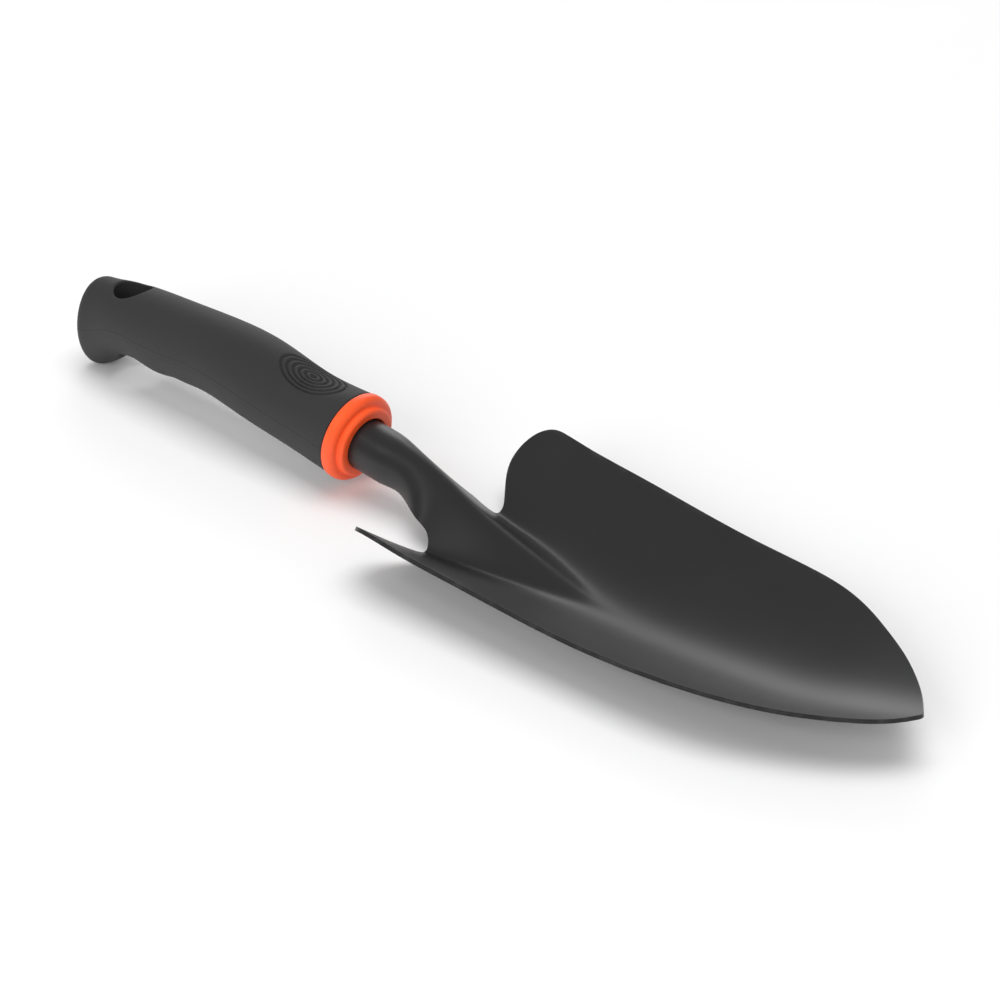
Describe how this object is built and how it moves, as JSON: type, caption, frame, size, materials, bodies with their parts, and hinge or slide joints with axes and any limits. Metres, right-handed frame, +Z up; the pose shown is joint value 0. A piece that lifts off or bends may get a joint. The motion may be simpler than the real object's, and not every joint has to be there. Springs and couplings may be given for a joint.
{
  "type": "hand trowel",
  "caption": "Garden hand trowel: a scooped, round-shouldered steel blade with a pressed ridge, a rolled shank, a stepped collar and a soft contoured grip with a hang hole.",
  "frame": {"origin": "centre of the footprint of the tool lying on its blade and butt, on the surface it lies on", "axes": "+X towards the blade tip, +Y to the left seen from the grip, +Z up out of the scoop"},
  "size_m": [0.32, 0.0836, 0.0346],
  "materials": {
    "powder_coated_steel": "satin",
    "soft_grip": "matte",
    "orange_core": "satin"
  },
  "bodies": {
    "root": {"blade_and_shank": "powder_coated_steel", "rubber_grip": "soft_grip", "handle_core": "orange_core"}
  },
  "joints": []
}
